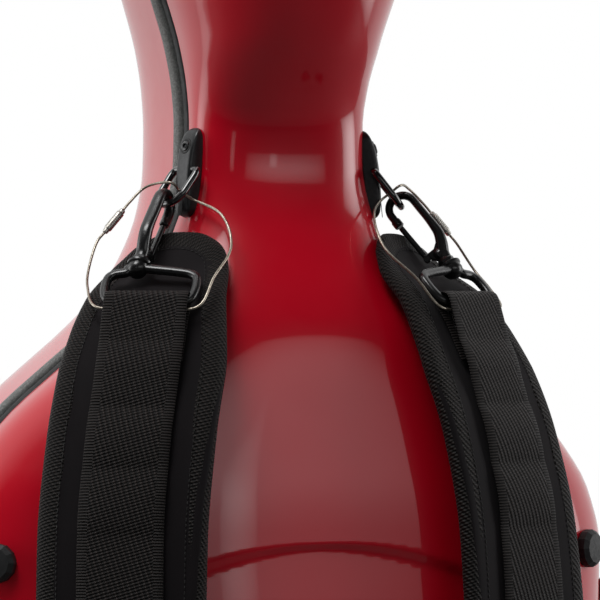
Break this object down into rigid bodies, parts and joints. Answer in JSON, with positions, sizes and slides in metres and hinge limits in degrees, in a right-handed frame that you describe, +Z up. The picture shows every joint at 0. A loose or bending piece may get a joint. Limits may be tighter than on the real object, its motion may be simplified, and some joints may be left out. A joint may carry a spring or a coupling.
{
  "type": "cello case",
  "caption": "Tall hard-shell cello case with a domed back and lid, side hinges, draw latches, a carry handle and padded backpack straps on snap hooks.",
  "frame": {"origin": "on the floor under the middle of the standing case, in the seam plane between back shell and lid", "axes": "+Z up to the scroll end, -Y out of the back that carries the straps, +Y out of the lid, +X towards the hinges"},
  "size_m": [0.5318, 0.284, 1.3362],
  "materials": {
    "red_gelcoat": "high gloss, pigmented gel coat over a fibre laminate",
    "seam_rubber": "matt black extruded rubber",
    "rim_strip": "dark grey, finely ribbed",
    "lining_plush": "black short-pile plush on foam",
    "cradle_foam": "soft padded velour",
    "black_plastic": "satin moulded plastic",
    "plated_steel": "satin nickel plate",
    "black_hardware": "satin to gloss black enamel",
    "cable_steel": "twisted wire under clear sleeve, turned clasp",
    "pad_fabric": "smooth knit over foam, twill binding",
    "strap_webbing": "heavy ribbed webbing"
  },
  "bodies": {
    "case_back": {"back_shell": "red_gelcoat", "back_lining": "lining_plush", "seam_gasket": "seam_rubber", "neck_cradle": "cradle_foam", "foot_1": "seam_rubber", "foot_2": "seam_rubber", "back_foot_1": "seam_rubber", "back_foot_2": "seam_rubber", "back_foot_3": "seam_rubber", "back_foot_4": "seam_rubber", "hinge_leaf_back_lower": "plated_steel", "hinge_leaf_back_upper": "plated_steel", "hinge_pin_lower": "plated_steel", "hinge_pin_upper": "plated_steel", "latch_base_1": "plated_steel", "latch_base_2": "plated_steel", "latch_base_3": "plated_steel", "handle_mount_lower": "black_plastic", "handle_mount_upper": "black_plastic", "strap_anchor_left": "black_hardware", "anchor_screw_left": "black_hardware", "shoulder_pad_left": "pad_fabric", "strap_frame_left": "black_hardware", "webbing_left": "strap_webbing", "adjuster_left": "black_hardware", "lower_anchor_left": "black_hardware", "safety_cable_left": "cable_steel", "cable_clasp_left": "cable_steel", "strap_anchor_right": "black_hardware", "anchor_screw_right": "black_hardware", "shoulder_pad_right": "pad_fabric", "strap_frame_right": "black_hardware", "webbing_right": "strap_webbing", "adjuster_right": "black_hardware", "lower_anchor_right": "black_hardware", "safety_cable_right": "cable_steel", "cable_clasp_right": "cable_steel"},
    "lid": {"lid_shell": "red_gelcoat", "lid_rim": "rim_strip", "lid_lining": "lining_plush", "bow_clip": "black_plastic", "foot_3": "seam_rubber", "foot_4": "seam_rubber", "hinge_leaf_lid_lower": "plated_steel", "hinge_leaf_lid_upper": "plated_steel", "latch_catch_1": "plated_steel", "latch_catch_2": "plated_steel", "latch_catch_3": "plated_steel"},
    "latch_1": {"latch_lever_1": "plated_steel"},
    "latch_2": {"latch_lever_2": "plated_steel"},
    "latch_3": {"latch_lever_3": "plated_steel"},
    "handle": {"handle_grip": "black_plastic"},
    "ring_left": {"d_ring_left": "black_hardware"},
    "hook_left": {"snap_hook_left": "black_hardware"},
    "gate_left": {"hook_gate_left": "black_hardware"},
    "lower_ring_left": {"lower_ring_left": "black_hardware"},
    "ring_right": {"d_ring_right": "black_hardware"},
    "hook_right": {"snap_hook_right": "black_hardware"},
    "gate_right": {"hook_gate_right": "black_hardware"},
    "lower_ring_right": {"lower_ring_right": "black_hardware"}
  },
  "joints": [
    {"name": "lid_hinge", "type": "hinge", "parent": "case_back", "child": "lid", "pos_m": [0.26488, 0, 0.24], "axis": [0.0987, 0, -0.9951], "range_deg": [0, 110]},
    {"name": "latch_lever_1_pivot", "type": "hinge", "parent": "case_back", "child": "latch_1", "pos_m": [-0.25185, -0.036, 0.14782], "axis": [-0.2564, 0, 0.9666], "range_deg": [0, 110]},
    {"name": "latch_lever_2_pivot", "type": "hinge", "parent": "case_back", "child": "latch_2", "pos_m": [-0.23007, -0.036, 0.44221], "axis": [0.2605, 0, 0.9655], "range_deg": [0, 110]},
    {"name": "latch_lever_3_pivot", "type": "hinge", "parent": "case_back", "child": "latch_3", "pos_m": [-0.21612, -0.036, 0.74483], "axis": [-0.02, 0, 0.9998], "range_deg": [0, 110]},
    {"name": "handle_pivot", "type": "hinge", "parent": "case_back", "child": "handle", "pos_m": [-0.2075, -0.038, 0.585], "axis": [0, 0, 1], "range_deg": [-60, 45]},
    {"name": "ring_right_pivot", "type": "hinge", "parent": "case_back", "child": "ring_right", "pos_m": [0.05956, -0.02239, 1.00668], "axis": [0.342, 0.9397, 0], "range_deg": [-1.5, 1.5]},
    {"name": "hook_right_swivel", "type": "hinge", "parent": "case_back", "child": "hook_right", "pos_m": [0.0968, -0.04924, 0.95075], "axis": [-0.4701, 0.4601, 0.7532], "range_deg": [-1.5, 1.5]},
    {"name": "gate_right_pivot", "type": "hinge", "parent": "hook_right", "child": "gate_right", "pos_m": [0.08651, -0.0426, 0.95355], "axis": [0.488, 0.8466, -0.2125], "range_deg": [0, 20], "stiffness_Nm_per_rad": 0.02, "springref_deg": -17.19},
    {"name": "lower_ring_right_pivot", "type": "hinge", "parent": "case_back", "child": "lower_ring_right", "pos_m": [0.15483, -0.10902, 0.21485], "axis": [0.9205, 0.3907, 0], "range_deg": [-1.5, 1.5]},
    {"name": "ring_left_pivot", "type": "hinge", "parent": "case_back", "child": "ring_left", "pos_m": [-0.05956, -0.02239, 1.00668], "axis": [0.342, -0.9397, 0], "range_deg": [-1.5, 0]},
    {"name": "hook_left_swivel", "type": "hinge", "parent": "case_back", "child": "hook_left", "pos_m": [-0.0968, -0.04924, 0.95075], "axis": [0.4701, 0.4601, 0.7532], "range_deg": [-1.5, 1.5]},
    {"name": "gate_left_pivot", "type": "hinge", "parent": "hook_left", "child": "gate_left", "pos_m": [-0.08831, -0.04034, 0.95329], "axis": [0.728, -0.6846, -0.0361], "range_deg": [0, 20], "stiffness_Nm_per_rad": 0.02, "springref_deg": -17.19},
    {"name": "lower_ring_left_pivot", "type": "hinge", "parent": "case_back", "child": "lower_ring_left", "pos_m": [-0.15483, -0.10902, 0.21485], "axis": [0.9205, -0.3907, 0], "range_deg": [-1.5, 1.5]}
  ]
}
